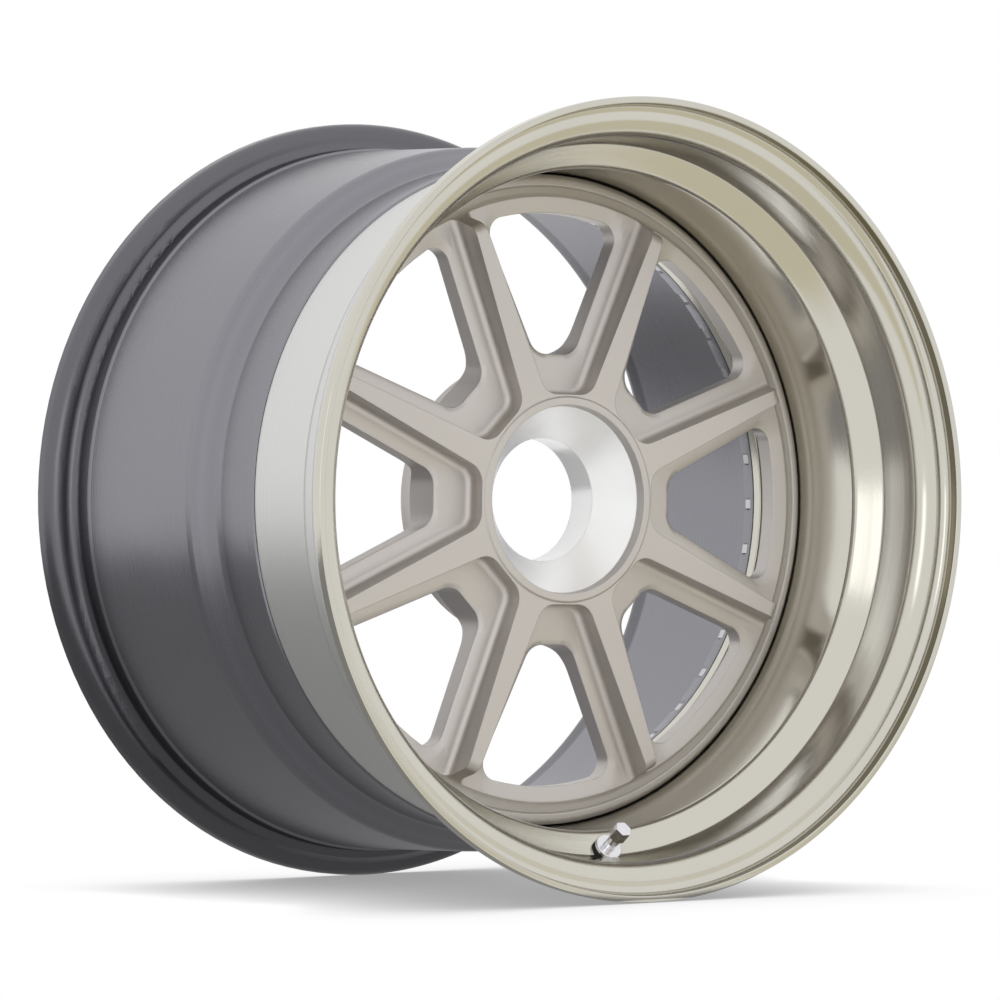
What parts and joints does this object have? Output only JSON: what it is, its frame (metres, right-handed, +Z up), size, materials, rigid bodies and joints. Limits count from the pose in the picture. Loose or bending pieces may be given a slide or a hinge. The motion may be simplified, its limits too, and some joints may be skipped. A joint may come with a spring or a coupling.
{
  "type": "alloy wheel",
  "caption": "Wide split-rim car wheel with a deep stepped dish, a pocketed spoke centre for a central nut, and a ring of assembly bolts behind.",
  "frame": {"origin": "on the axle line, half way between the outer edges of the two rim flanges", "axes": "the axle is the Y axis and the street side faces -Y; +Z is up, with the valve at the lowest point"},
  "size_m": [0.497, 0.3218, 0.497],
  "materials": {
    "outer_half": "polished",
    "inner_half": "satin",
    "centre": "satin",
    "steel": "plated",
    "rubber": "matt",
    "chrome": "polished",
    "brass": "turned"
  },
  "bodies": {
    "root": {"outer_rim_half": "outer_half", "inner_rim_half": "inner_half", "wheel_centre": "centre", "assembly_bolts": "steel", "rim_seal": "rubber", "valve_stem": "chrome", "valve_inner_grommet": "rubber", "valve_outer_grommet": "rubber", "valve_collar": "chrome", "valve_core": "brass", "valve_cap": "chrome"}
  },
  "joints": []
}
